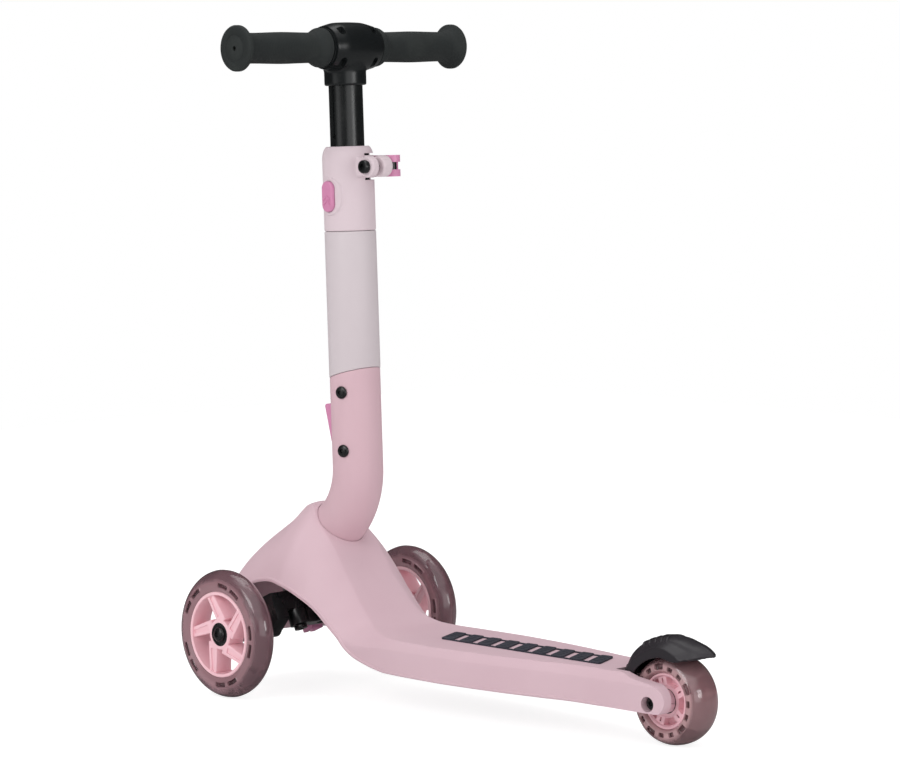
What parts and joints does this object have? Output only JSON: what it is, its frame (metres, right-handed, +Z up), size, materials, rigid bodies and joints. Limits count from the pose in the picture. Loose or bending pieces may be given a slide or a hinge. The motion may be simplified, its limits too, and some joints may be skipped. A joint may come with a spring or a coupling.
{
  "type": "three wheel kids scooter",
  "caption": "Lean-to-steer kids scooter: moulded deck rising to a hood, curved neck, telescopic stem with T-handle, small wheels and a fender foot brake.",
  "frame": {"origin": "on the ground, in the middle of the length and width", "axes": "+X to the rider's right, +Y in the direction of travel, +Z up"},
  "size_m": [0.2792, 0.583, 0.629],
  "materials": {
    "deck_pink": "fine satin grain",
    "neck_pink": "fine satin grain",
    "pale_pink": "satin",
    "pale_lilac": "satin",
    "magenta": "satin gloss",
    "rim_pink": "satin gloss",
    "smoky_tyre": "clear smoky polyurethane",
    "black_plastic": "fine grain",
    "black_rubber": "matt",
    "black_steel": "satin black",
    "steel": "brushed"
  },
  "bodies": {
    "frame": {"deck_shell": "deck_pink", "deck_grip_strip": "black_rubber", "neck_tube": "neck_pink", "neck_foot_bolt": "black_steel", "neck_sleeve": "black_plastic", "neck_screw_upper": "black_steel", "neck_screw_lower": "black_steel", "stem_release_spring": "steel", "front_beam": "black_plastic", "beam_screw_left": "black_steel", "beam_screw_right": "black_steel", "kingpin_left": "black_steel", "kingpin_right": "black_steel", "centring_spring_left": "steel", "centring_spring_right": "steel", "rear_axle": "steel", "rear_axle_screw_left": "black_steel", "rear_axle_screw_right": "black_steel", "brake_pin": "steel", "brake_spring": "steel"},
    "release_button": {"stem_release_button": "magenta"},
    "stem": {"stem_tube": "pale_lilac", "stem_spigot": "steel", "stem_collar": "pale_pink", "collar_liner": "black_plastic", "clamp_bolt": "black_steel", "height_button_spring": "steel"},
    "height_button": {"height_button": "magenta"},
    "clamp_lever": {"clamp_lever": "magenta"},
    "handle": {"slide_tube": "black_steel", "handle_hub": "black_plastic", "handle_bar": "black_steel", "grip_left": "black_rubber", "grip_right": "black_rubber"},
    "knuckle_left": {"knuckle_left": "black_plastic", "tie_rod_pin_left": "steel", "left_wheel_bolt": "black_steel"},
    "knuckle_right": {"knuckle_right": "black_plastic", "tie_rod_pin_right": "steel", "right_wheel_bolt": "black_steel"},
    "left_wheel": {"left_wheel_rim": "rim_pink", "left_wheel_tyre": "smoky_tyre", "left_wheel_bearing_left": "steel", "left_wheel_bearing_right": "steel"},
    "right_wheel": {"right_wheel_rim": "rim_pink", "right_wheel_tyre": "smoky_tyre", "right_wheel_bearing_left": "steel", "right_wheel_bearing_right": "steel"},
    "tie_rod": {"tie_rod": "black_plastic"},
    "steering_lock": {"steering_lock": "magenta"},
    "rear_wheel": {"rear_wheel_rim": "rim_pink", "rear_wheel_tyre": "smoky_tyre", "rear_wheel_bearing_left": "steel", "rear_wheel_bearing_right": "steel"},
    "brake": {"fender_brake": "black_plastic", "brake_pad": "black_rubber"}
  },
  "joints": [
    {"name": "stem_pull", "type": "slide", "parent": "frame", "child": "stem", "axis": [0, 0.0384, 0.9993], "range_m": [0, 0.06]},
    {"name": "release_button_press", "type": "slide", "parent": "frame", "child": "release_button", "axis": [0, -0.9993, 0.0384], "range_m": [0, 0.001], "stiffness_N_per_m": 800, "springref_m": -0.002},
    {"name": "height_button_press", "type": "slide", "parent": "stem", "child": "height_button", "axis": [1, 0, 0], "range_m": [0, 0.0022], "stiffness_N_per_m": 800, "springref_m": -0.002},
    {"name": "clamp_lever_swing", "type": "hinge", "parent": "stem", "child": "clamp_lever", "pos_m": [0.0208, 0.13326, 0.49548], "axis": [0, -0.0384, -0.9993], "range_deg": [0, 120]},
    {"name": "handle_height", "type": "slide", "parent": "stem", "child": "handle", "axis": [0, 0.0384, 0.9993], "range_m": [-0.05, 0.1]},
    {"name": "steer_left", "type": "hinge", "parent": "frame", "child": "knuckle_left", "pos_m": [-0.042, 0.20766, 0.08372], "axis": [0, 0.4067, 0.9135], "range_deg": [-15, 15], "stiffness_Nm_per_rad": 6},
    {"name": "steer_right", "type": "hinge", "parent": "frame", "child": "knuckle_right", "pos_m": [0.042, 0.20766, 0.08372], "axis": [0, 0.4067, 0.9135], "range_deg": [-15, 15], "stiffness_Nm_per_rad": 6},
    {"name": "tie_rod_slide", "type": "slide", "parent": "frame", "child": "tie_rod", "axis": [1, 0, 0], "range_m": [-0.0072, 0.0072]},
    {"name": "steering_lock_slide", "type": "slide", "parent": "frame", "child": "steering_lock", "axis": [0, 0.9135, -0.4067], "range_m": [-0.008, 0]},
    {"name": "left_wheel_spin", "type": "hinge", "parent": "knuckle_left", "child": "left_wheel", "pos_m": [-0.118, 0.2155, 0.06], "axis": [1, 0, 0], "continuous": true},
    {"name": "right_wheel_spin", "type": "hinge", "parent": "knuckle_right", "child": "right_wheel", "pos_m": [0.118, 0.2155, 0.06], "axis": [1, 0, 0], "continuous": true},
    {"name": "rear_wheel_spin", "type": "hinge", "parent": "frame", "child": "rear_wheel", "pos_m": [0, -0.2465, 0.04], "axis": [1, 0, 0], "continuous": true},
    {"name": "brake_press", "type": "hinge", "parent": "frame", "child": "brake", "pos_m": [0, -0.2005, 0.053], "axis": [1, 0, 0], "range_deg": [0, 6.5], "stiffness_Nm_per_rad": 1.5, "springref_deg": -8.59}
  ],
  "couplings": [
    {"joint": "steer_right", "follows": "steer_left", "ratio": 1},
    {"joint": "tie_rod_slide", "follows": "steer_left", "m_per_rad": -0.027}
  ]
}
